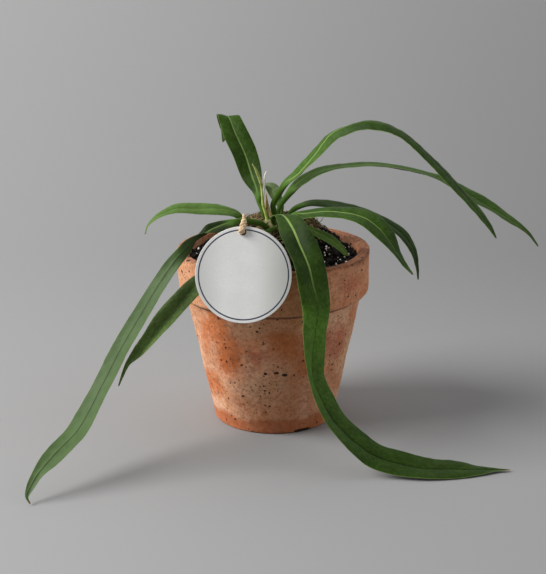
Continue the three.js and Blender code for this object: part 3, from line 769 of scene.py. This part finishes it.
def leaf_surface(rows, seed, keel):
    """Rings of points round a leaf, and what its paint reads. The keel is how far its rib stands out."""
    t, length = even_steps(rows, LEAF_STEP)
    curve, slopes = catmull_rom(rows, t)
    middle, arms = curve[:, :3], curve[:, 3:6]
    folds = np.radians(curve[:, 6])[:, None]
    along = unit(slopes[:, :3])
    half = np.linalg.norm(arms, axis=1)
    arms = unit(arms - along * (arms * along).sum(1)[:, None])
    up = np.cross(arms, along)[:, None, :]
    share = (length / length[-1])[:, None]
    tip = np.clip((length[-1] - length) / max(1.2, half[-1]), 0, 1)
    half = (half * np.sqrt(np.clip(1 - (1 - tip) ** 2, 0.02, 1)))[:, None]

    shares = np.concatenate([-SHARES[:0:-1], SHARES])
    across = half * shares
    distance = np.abs(across)
    blade = smoothstep(half, STALK_HALF_WIDTH, BLADE_HALF_WIDTH)
    stalk = (1 - blade) * (1 - smoothstep(share, 0.3, 0.5))
    rounding = np.sqrt(np.clip(1 - np.abs(shares) ** 6, 0, 1))
    lamina = mix(*HALF_THICKNESS, share) * rounding * np.minimum(1, half / 1.5)
    rib = keel * mix(*RIB_HEIGHT, share**0.7) * bell(distance, mix(*RIB_WIDTH, share))
    ridge = RIDGE[0] * (1 - smoothstep(share, 0.3, 0.6)) * bell(distance, RIDGE[1])
    groove = GROOVE[0] * smoothstep(share, 0.35, 0.6) * bell(distance, GROOVE[1])
    narrow = np.minimum(1, half / 3)
    round_stalk = np.minimum(0.9 * half, 1.8) * np.sqrt(np.clip(1 - shares**2, 0, 1))
    over = mix(lamina + (ridge - groove) * narrow * rounding, 0.85 * round_stalk, stalk)
    under = mix(lamina + rib * narrow * rounding, round_stalk, stalk)

    # The blade folds at its midrib, bulges on both sides of it, quilts and has a wavy edge.
    fold = (np.sqrt(distance**2 + 0.5) - math.sqrt(0.5)) * np.sin(folds)
    camber = 0.06 * half * (1 - (2 * np.abs(shares) - 1) ** 2)
    flat = together(length[:, None], across, 0).reshape(-1, 3)
    quilt = 0.16 * waves(flat, 9, seed) + 0.07 * waves(flat, 4, seed + 50)
    edge_wave = 0.5 * waves(flat, 34, seed + 90).reshape(across.shape) * np.abs(shares) ** 2
    relief = (quilt.reshape(across.shape) + edge_wave) * narrow
    lift = fold + (camber + relief) * (1 - stalk)

    base = middle[:, None, :] + arms[:, None, :] * (across * np.cos(folds))[..., None]
    top = base + up * (lift + over)[..., None]
    bottom = base + up * (lift - under)[..., None]
    rings = np.concatenate([top, bottom[:, -2:0:-1]], axis=1)
    place = together(length[:, None], across, half)
    place = np.concatenate([place, place[:, -2:0:-1]], axis=1)
    side = np.concatenate([np.ones(len(shares)), -np.ones(len(shares) - 2)])
    side[[0, len(shares) - 1]] = 0
    traits = {"place": place, "kind": together(share, side, stalk)}
    return rings.reshape(-1, 3), ring_faces(len(t), len(side)), traits


# Leaf colours: the top side's two tones, the underside's two, then the shine and the material slot
LEAF_PAINTS = {
    "leaf_deep": ("2f4a14", "3a5a1a", "556a3c", "60784a", 0.07, "leaf"),
    "leaf_shaded": ("384923", "42542b", "4c5c34", "5a6a40", 0.07, "leaf"),
    "leaf_light": ("4c6a2a", "587836", "65814e", "718e5a", 0.1, "leaf_light"),
    "leaf_olive": ("42562a", "4e6234", "4c5c34", "5a6a40", 0.1, "leaf_olive"),
}
# The leaves that aren't leaf_deep
LEAF_KINDS = {
    "leaf_left_trailing": "leaf_light", "leaf_upper_left": "leaf_light", "leaf_short": "leaf_light",
    "leaf_rear": "leaf_olive", "leaf_lower_left": "leaf_shaded",
}
RIB_COLOUR = "8aa35a"
# Painted shade in the midrib's groove
GROOVE_SHADE_COLOUR = "141c0a"
STALK_COLOUR = "4a6a26"
TIP_COLOUR = "7a4a2a"


def leaf_paint(name, top, top_light, under, under_light, shine):
    """A leaf: midrib and margin, fine side veins that curve towards the tip, and a paler underside."""
    paint = Paint(name)
    along, across, half = paint.trait("place")
    share, side, stalk = paint.trait("kind")
    rib_tone, painted_light, margin_tone = paint.trait("look")
    place = paint.coords()
    distance = paint.math("ABSOLUTE", across)
    inset = paint.minus(half, distance)
    cloud = paint.noise(place, 70, 4, 0.6)
    fine = paint.noise(place, 420, 3, 0.6)
    # Side veins leave the midrib at a slant, about every 5 mm.
    wander = paint.times(paint.noise(place, 90, 2), 3)
    turn = paint.times(paint.plus(paint.times(distance, -1.5, along), wander), 0.2)
    vein = paint.step(paint.apart(paint.math("FRACT", turn), 0.5), 0.0, 0.11, 1, 0)
    vein = paint.times(vein, paint.step(inset, 0.6, 1.6))
    vein = paint.times(vein, paint.step(stalk, 0.0, 0.4, 1, 0))
    tone = paint.step(cloud, 0.3, 0.7)
    upper, lower = paint.blend(tone, top, top_light), paint.blend(tone, under, under_light)
    colour = paint.cover(
        paint.blend(paint.math("LESS_THAN", side, 0.0), upper, lower),
        (paint.times(vein, 0.06), RIB_COLOUR),
        (paint.step(fine, 0.35, 0.7, 0, 0.12), RIB_COLOUR),
    )
    # Painted light and shade: the leaf's colour is scaled darker where shade falls and lighter where light
    # or sheen falls
    colour = paint.add("VectorMath", {0: colour, 3: painted_light}, operation="SCALE")
    # A pale midrib is as wide as the rib, and a dark one is a thin line of painted shade in the midrib's
    # groove.
    rib_width = paint.step(share, 0.1, 0.9, 0.7, 0.28)
    rib = paint.step(paint.math("DIVIDE", distance, rib_width), 0.6, 1.4, 1, 0)
    line = paint.step(distance, 0.18, 0.5, 1, 0)
    colour = paint.cover(
        colour,
        (paint.times(rib, paint.most(rib_tone, 0)), RIB_COLOUR),
        (paint.times(line, paint.most(paint.times(rib_tone, -1), 0)), GROOVE_SHADE_COLOUR),
        (paint.times(paint.step(inset, 0.12, 0.4, 1, 0), margin_tone), RIB_COLOUR),
        (paint.step(stalk, 0.2, 0.9), STALK_COLOUR),
        (paint.times(paint.step(share, 0.988, 1.0), 0.8), TIP_COLOUR),
    )
    relief = paint.times(vein, -0.3, paint.times(fine, 0.35))
    normal = paint.bump(paint.times(cloud, 0.5, relief), 0.00035, 0.5)
    rough = paint.step(fine, 0.2, 0.8, 0.45, 0.58)
    return paint.finish(Base_Color=colour, Roughness=rough, Specular_IOR_Level=shine, Normal=normal)


def look_along(name, share):
    """The midrib, painted light and shade, and margin of a leaf at shares of its length."""
    shares, *tones = zip(*LEAF_LOOKS.get(name, PLAIN_LOOK))
    return together(*(np.interp(share, shares, tone) for tone in tones))


def make_leaves():
    paints = {kind: leaf_paint(kind, *looks[:5]) for kind, looks in LEAF_PAINTS.items()}
    for seed, (name, rows) in enumerate(LEAVES.items()):
        points, faces, traits = leaf_surface(rows, seed, LEAF_KEELS.get(name, 1))
        traits["look"] = look_along(name, traits["kind"][..., 0])
        kind = LEAF_KINDS.get(name, "leaf_deep")
        add_piece(name + "_blade", points, faces, paints[kind], LEAF_PAINTS[kind][-1], [name], traits)


# Soil and moss. The heap is the one that the frame has, with finer crumbs on it.

HEAP_CENTRE = np.array([2.0, 12.0])
HEAP_RADIUS = 50
HEAP_HEIGHT = 22.5
SOIL_LEVEL = 121
SOIL_BOTTOM = 9.5
SOIL_SIDES = 300
SOIL_RINGS = 60
# Crumbs: how many, and how far from the pot's axis their middles and far sides may be
CRUMBS = 2600
CRUMB_REACH = 58.5
CRUMB_LIMIT = 59.8
PERLITE_BITS = 420
PERLITE_REACH = 57.5
MOSS_RADIUS = 33
MOSS_EDGE_THICKNESS = 1.4
MOSS_THICKNESS = 3.6
MOSS_SIDES = 200
MOSS_RINGS = 40
MOSS_STRANDS = 1500
# A tuft of thin dry roots on the right of the heap
ROOT_CLUSTER = np.array([27.0, 14.0])
ROOT_REACH = 6
ROOT_STRANDS = 45
# The thickness of a strand at each of its points, as a share of its greatest
STRAND_TAPER = np.array([0.9, 1, 1, 1, 0.9, 0.7, 0.35])


def wall_radius(z):
    """The inner radius of the pot at a height."""
    return mix(40, 61.8, (z - 10) / 115)


def from_heap(x, y):
    return np.hypot(x - HEAP_CENTRE[0], y - HEAP_CENTRE[1])


def dome(x, y, radius):
    """One in the middle of the heap, and nothing from this radius on."""
    return np.clip(1 - (from_heap(x, y) / radius) ** 2, 0, None)


def soil_height(x, y):
    swell = 0.9 * np.sin(0.61 * x + 0.4) * np.sin(0.53 * y) + 0.7 * np.sin(0.33 * x - 0.47 * y + 1)
    return SOIL_LEVEL + HEAP_HEIGHT * dome(x, y, HEAP_RADIUS) ** 0.8 + swell


def moss_thickness(x, y):
    tufts = 0.5 * np.sin(0.9 * x + 0.5 * y) * np.sin(0.8 * y - 0.3 * x + 2)
    return mix(MOSS_EDGE_THICKNESS, MOSS_THICKNESS, dome(x, y, MOSS_RADIUS)) + tufts


def moss_ring(ring):
    """One of the moss's rings, counted from its middle, laid flat."""
    angles = ring_angles(MOSS_SIDES)
    edge = MOSS_RADIUS * (1 + 0.05 * np.sin(5 * angles) + 0.04 * np.sin(8 * angles + 1))
    return circle(edge * ring / MOSS_RINGS, 0, angles, HEAP_CENTRE)


def crumb_shape():
    """The twelve corners and twenty faces of an even crumb."""
    golden = (1 + math.sqrt(5)) / 2
    corners = np.array([(a, b * golden, 0) for a in (-1, 1) for b in (-1, 1)])
    points = np.vstack([corners, np.roll(corners, 1, 1), np.roll(corners, 2, 1)])
    near = np.linalg.norm(points[:, None] - points[None], axis=-1) < 2.1
    faces = []
    for a, b, c in itertools.combinations(range(len(points)), 3):
        if near[a, b] and near[b, c] and near[a, c]:
            out = np.cross(points[b] - points[a], points[c] - points[a]).dot(points[a]) > 0
            faces.append([a, b, c] if out else [a, c, b])
    return unit(points), faces


def scatter(rng, count, reach):
    """Random places on the heap, up to a reach from the pot's axis."""
    while count:
        x, y = rng.uniform(-60, 60, 2)
        if math.hypot(x, y) <= reach:
            count -= 1
            yield x, y


def pebble(rng, corners, size, x, y, z):
    """The points of a crumb with blunt corners, at a place."""
    points = corners * rng.uniform(0.72, 1.15, (12, 1)) * rng.uniform(0.6, 1.1, 3) * size
    turn = np.linalg.qr(rng.normal(size=(3, 3)))[0]
    return points @ turn + (x, y, z)


def soil_paint():
    paint = Paint("peat")
    tint, _, _ = paint.trait("tint")
    grain = paint.noise(paint.coords(), 1500, 4, 0.7)
    colour = paint.blend(paint.step(grain, 0.3, 0.75), "040302", "17100b")
    colour = paint.blend(paint.step(tint, 0.75, 1.0, 0, 0.6), colour, "4a3626")
    normal = paint.bump(grain, 0.0006, 0.8)
    return paint.finish(Base_Color=colour, Roughness=0.8, Specular_IOR_Level=0.2, Normal=normal)


def make_soil_bed(peat):
    angles = ring_angles(SOIL_SIDES)
    top = []
    for ring in range(SOIL_RINGS):
        share = ring / (SOIL_RINGS - 1)
        radius = mix(1.0, wall_radius(SOIL_LEVEL) - 0.3, share)
        top.append(circle(radius, 0, angles, HEAP_CENTRE * (1 - share**2)))
    top = np.concatenate(top)
    top[:, 2] = soil_height(top[:, 0], top[:, 1])
    top[:, 2] += 0.5 * waves(top, 5, 21) + 0.35 * waves(top, 2.2, 22)
    heights = (118, 112, 60, SOIL_BOTTOM + 3, SOIL_BOTTOM)
    wall = [circle(wall_radius(z) - 0.4 if z > SOIL_BOTTOM else 36, z, angles) for z in heights]
    points = np.concatenate([top, *wall])
    faces = ring_faces(SOIL_RINGS + len(wall), SOIL_SIDES)
    add_piece("soil_bed", points, faces, peat, "soil", ["soil"], {"tint": 0 * points})


def make_soil():
    peat = soil_paint()
    make_soil_bed(peat)
    rng = np.random.default_rng(7)
    corners, faces = crumb_shape()
    crumbs = Joined()
    for x, y in scatter(rng, CRUMBS, CRUMB_REACH):
        size = rng.uniform(0.5, 1.6) if rng.random() < 0.75 else rng.uniform(1.6, 3.6)
        size = min(size, CRUMB_LIMIT - math.hypot(x, y))
        points = pebble(rng, corners, size, x, y, soil_height(x, y) + 0.35 * size)
        crumbs.add(points, faces, rng.random())
    crumbs.piece("soil_crumbs", peat, "soil", smooth=False)
    bits = Joined()
    for x, y in scatter(rng, PERLITE_BITS, PERLITE_REACH):
        size = rng.uniform(0.4, 1.3)
        bits.add(pebble(rng, corners, size, x, y, soil_height(x, y) + 0.9 + 0.5 * size), faces)
    perlite = Paint("perlite").finish(Base_Color="f2eee4", Roughness=0.8)
    bits.piece("soil_perlite", perlite, "soil", smooth=False)


def moss_paint():
    paint = Paint("moss")
    tint, _, _ = paint.trait("tint")
    grain = paint.noise(paint.coords(), 700, 4, 0.7)
    colour = paint.cover(
        paint.blend(paint.step(tint, 0, 1), "4c3820", "b59a68"),
        (paint.step(tint, 0.8, 0.84, 0, 0.8), "7c8238"),
        (paint.step(grain, 0.35, 0.7, 0, 0.5), "2c2013"),
    )
    return paint.finish(Base_Color=colour, Roughness=0.85, Normal=paint.bump(grain, 0.0008, 0.8))


def make_moss_cushion(paint):
    layers = []
    for ring in range(1, MOSS_RINGS + 1):
        layer = moss_ring(ring)
        x, y, _ = layer.T
        rough = 0.7 * waves(layer, 3.2, 31) + 0.4 * waves(layer, 1.6, 32)
        thick = moss_thickness(x, y) * (1 - (ring / MOSS_RINGS) ** 8)
        layer[:, 2] = soil_height(x, y) + 0.42 + np.clip(thick + rough, 0.1, 5)
        layers.append(layer)
    for ring in (MOSS_RINGS, MOSS_RINGS // 2, 1):
        layer = moss_ring(ring)
        layer[:, 2] = soil_height(layer[:, 0], layer[:, 1]) - 0.6
        layers.append(layer)
    points = np.concatenate(layers)
    traits = {"tint": np.full(points.shape, 0.35)}
    add_piece("moss_cushion", points, ring_faces(len(layers), MOSS_SIDES), paint, "moss", ["moss"], traits)


def strand(rng, is_root):
    """A thin strand that wanders over the moss and the soil, or a root that also climbs off them."""
    centre, reach = (ROOT_CLUSTER, ROOT_REACH) if is_root else (HEAP_CENTRE, MOSS_RADIUS)
    angle, away = rng.uniform(0, math.tau), reach * math.sqrt(rng.uniform(0, 1.1))
    x, y = centre + away * np.array([math.cos(angle), math.sin(angle)])
    on_moss = from_heap(x, y) < MOSS_RADIUS
    heading, bend = rng.uniform(0, math.tau), rng.uniform(-0.5, 0.5)
    climb = rng.uniform(-0.05, 0.5) + 0.5 * is_root
    step = rng.uniform(3, 11) / (len(STRAND_TAPER) - 1)
    route = []
    lift = 0
    for _ in STRAND_TAPER:
        ground = soil_height(x, y) + (moss_thickness(x, y) if on_moss else 0.3)
        route.append((x, y, ground + 0.4 + lift))
        x += step * math.cos(heading)
        y += step * math.sin(heading)
        heading += bend + rng.normal(0, 0.3)
        lift += climb * step
        climb -= rng.uniform(0, 0.22)
    radius = rng.uniform(0.16, 0.42) * STRAND_TAPER * (1.7 if is_root else 1)
    return tube(np.array(route), radius, 4)


def make_moss():
    paint = moss_paint()
    make_moss_cushion(paint)
    rng = np.random.default_rng(8)
    strands = Joined()
    for k in range(MOSS_STRANDS + ROOT_STRANDS):
        points, faces = strand(rng, k >= MOSS_STRANDS)
        strands.add(points, faces, rng.random())
    strands.piece("moss_strands", paint, "moss")


# Stem, new shoot and sheath

# Radius and height, from the bottom up
STEM_OUTLINE = [
    (4.5, 112.3), (6.4, 116), (7.4, 126), (7.8, 137), (7.6, 144), (6.2, 147.6), (3.5, 148.8), (0.5, 149),
]
STEM_SIDES = 72


def make_stem():
    material = grained_paint("stem", (160, 4, 0.6), "4c5428", "75693a", (0.0012, 0.6), 0.65)
    outline = smooth_route(STEM_OUTLINE, 0.8)
    points = circle(outline[:, :1], outline[:, 1:], ring_angles(STEM_SIDES)).reshape(-1, 3)
    scars = 0.25 * np.sin(points[:, 2] * 1.7 + 1.5 * waves(points, 20, 41)) + 0.3 * waves(points, 6, 42)
    points[:, :2] *= (1 + scars / 9)[:, None]
    add_piece("stem_base", points, ring_faces(len(outline), STEM_SIDES), material, "stem", ["stem"])


SHOOT_STALK = [
    (-4.2, -3.4, 146), (-5.2, -2.8, 152), (-7, -3, 158.6), (-7.4, -3, 164.4), (-7.8, -3, 171),
    (-8.8, -4, 175.5), (-10.8, -5, 181.4), (-12.5, -6, 185.6), (-14.4, -7, 189.2),
]
SHOOT_BRACT = [
    (-7.2, -3, 163), (-6.9, -3, 169.5), (-6.3, -3.5, 174), (-5.8, -4, 178.3), (-5.3, -4, 181.2),
    (-4.5, -4, 183.3),
]
SHEATH = [(-1.5, -1, 146), (-3.2, -1.3, 152), (-4.4, -1, 158), (-4.8, -1, 163), (-4.8, -1, 167.5)]
# Share of the length, and the radius there
STALK_PROFILE = [(0, 1.1), (0.5, 1.1), (0.8, 1), (0.97, 0.5), (1, 0.12)]
BRACT_PROFILE = [(0, 1), (0.3, 1.4), (0.7, 1.05), (1, 0.2)]
SHEATH_PROFILE = [(0, 2.3), (0.25, 2.5), (0.5, 1.9), (0.8, 0.9), (1, 0.12)]


def make_shoot():
    paint = Paint("shoot")
    tint, _, _ = paint.trait("tint")
    cloud = paint.noise(paint.coords(), 300, 3)
    colour = paint.blend(paint.step(cloud, 0.3, 0.7), "98a844", "c8d070")
    colour = paint.blend(paint.step(tint, 0, 1), colour, "fdfaf0")
    material = paint.finish(Base_Color=colour, Roughness=0.5)
    shoot = Joined()
    shoot.add(*tapered_tube(SHOOT_STALK, 0.7, STALK_PROFILE, 16), 0.1)
    shoot.add(*tapered_tube(SHOOT_BRACT, 0.6, BRACT_PROFILE, 14, 0.7), 1.0)
    shoot.piece("shoot_spear", material, "shoot", ["shoot"])


def make_sheath():
    stretch = (1, 1, 0.12)
    material = grained_paint("sheath", (900, 3, 0.6), "8f7644", "d8bd88", (0.0004, 0.7), 0.8, stretch)
    points, faces = tapered_tube(SHEATH, 0.6, SHEATH_PROFILE, 20, 0.7)
    add_piece("sheath_leaf", points, faces, material, "sheath", ["sheath"])


# Tag and twine

TAG_RADIUS = 32.2
TAG_THICKNESS = 1.2
TAG_BEVEL = 0.25
TAG_SIDES = 160
TAG_HOLE_RADIUS = 2.2
TAG_HOLE_UP = 28.4
TAG_LEAN = math.radians(17)
TAG_CENTRE = np.array([-20, -70.9, 127.2])
RING_RADIUS = 29.9
RING_WIDTH = 0.9
RING_BLUR = 0.12
TAG_RIGHT = np.array([1, 0, 0])
TAG_UP = np.array([0, math.sin(TAG_LEAN), math.cos(TAG_LEAN)])
TAG_FRONT = np.array([0, -math.cos(TAG_LEAN), math.sin(TAG_LEAN)])


def on_tag(right, up, front):
    """Points from distances to the right, up and to the front of the tag's centre."""
    ways = zip((right, up, front), (TAG_RIGHT, TAG_UP, TAG_FRONT))
    return TAG_CENTRE + sum(distance[..., None] * way for distance, way in ways)


def tag_paint():
    """Pale card, with painted shade darker to both sides, and a dark ring near the edge of its front."""
    paint = Paint("tag")
    right, up, front = paint.trait("place")
    square = paint.plus(paint.math("POWER", right, 2), paint.math("POWER", up, 2))
    off_ring = paint.apart(paint.math("POWER", square, 0.5), RING_RADIUS)
    ring = paint.step(off_ring, RING_WIDTH / 2 - RING_BLUR, RING_WIDTH / 2 + RING_BLUR, 1, 0)
    place = paint.coords()
    grain = paint.noise(place, 900, 2, 0.6)
    cloud = paint.noise(place, 60, 2)
    colour = paint.cover(
        paint.blend(paint.step(cloud, 0.3, 0.7), "f2f2f0", "f8f8f6"),
        (paint.step(grain, 0.3, 0.7, 0, 0.3), "e0e0de"),
        # Painted shade: darker to the right beside the front-trailing leaf, and to the left where the
        # left-trailing leaf's shadow falls
        (paint.step(right, 2, 30, 0, 0.9), "c6c7c1"),
        (paint.step(right, -10, -31, 0, 0.7), "cdcdca"),
        (paint.times(ring, paint.math("GREATER_THAN", front, 0.0)), "232c44"),
    )
    return paint.finish(Base_Color=colour, Roughness=0.5, Normal=paint.bump(grain, 0.0002, 0.3))


def make_tag():
    angles = ring_angles(TAG_SIDES)
    half = TAG_THICKNESS / 2
    # The rim is a circle about the centre, and the hole one about its own place; the face joins the two.
    outline = [
        # radius, how far up its middle is, and how far to the front
        (TAG_HOLE_RADIUS, TAG_HOLE_UP, -half),
        (TAG_RADIUS - TAG_BEVEL, 0, -half),
        (TAG_RADIUS, 0, TAG_BEVEL - half),
        (TAG_RADIUS, 0, half - TAG_BEVEL),
        (TAG_RADIUS - TAG_BEVEL, 0, half),
        (TAG_HOLE_RADIUS, TAG_HOLE_UP, half),
    ]
    flat = np.concatenate([circle(radius, front, angles, (0, up)) for radius, up, front in outline])
    faces = ring_faces(len(outline), TAG_SIDES, closed=True)
    traits = {"place": flat}
    add_piece("tag_disc", on_tag(*flat.T), faces, tag_paint(), "tag", ["tag"], traits, smooth=False)


TWINE_RADIUS = 0.9
TWINE_LOOP = [
    (-20, -60, 153.6), (-20, -62.7, 154.4), (-20, -65.2, 156), (-20, -64.6, 158.4), (-20, -62.2, 159.8),
    (-20, -57, 159.9), (-20, -48, 159.4), (-20, -41.3, 159.3), (-20.2, -35, 159.3), (-20.2, -30, 157.4),
    (-20.2, -29, 154.4), (-20, -32, 151.7), (-20, -40, 150.8), (-20, -50, 151.6), (-20, -60, 153.6),
]
# The knotted front of the twine: to the right, up and to the front of the tag's centre, and its thickness
KNOTS = [
    (-1.6, 27.6, -0.6, 0.9), (-1.5, 28.0, 1.3, 1.5), (-1.1, 29.4, 2.0, 2.1), (-0.6, 31.2, 1.9, 1.7),
    (-0.1, 32.8, 1.6, 2.2), (0.3, 34.2, 1.0, 1.8), (0.6, 35.7, 0.3, 2.0), (0.7, 36.9, -0.4, 1.2),
]
PLIES = 3
# A ply's distance from the twine's middle and its own radius, as shares of the twine's radius
PLY_OFFSET = 0.5
PLY_RADIUS = 0.56
PLY_SIDES = 8


def add_rope(gather, route, radius, pitch):
    """Twisted plies along a route, which go once round it in each pitch."""
    radii = np.broadcast_to(radius, len(route))
    side, other = carried_sides(route)
    for ply in range(PLIES):
        angle = math.tau * (path_lengths(route) / pitch + ply / PLIES)[:, None]
        offset = np.cos(angle) * side + np.sin(angle) * other
        gather.add(*tube(route + PLY_OFFSET * radii[:, None] * offset, PLY_RADIUS * radii, PLY_SIDES))


def make_twine():
    material = grained_paint("twine", (1600, 3, 0.7), "b8946a", "ead2ae", (0.0004, 0.8), 0.85)
    twine = Joined()
    add_rope(twine, smooth_route(TWINE_LOOP, 0.35), TWINE_RADIUS, 5.5)
    knots = smooth_route(KNOTS, 0.3)
    add_rope(twine, on_tag(*knots[:, :3].T), knots[:, 3], 6.5)
    twine.piece("twine_tie", material, "twine", ["twine"])


add_camera()
add_studio()
make_pot()
make_soil()
make_moss()
make_stem()
make_leaves()
make_shoot()
make_sheath()
make_tag()
make_twine()
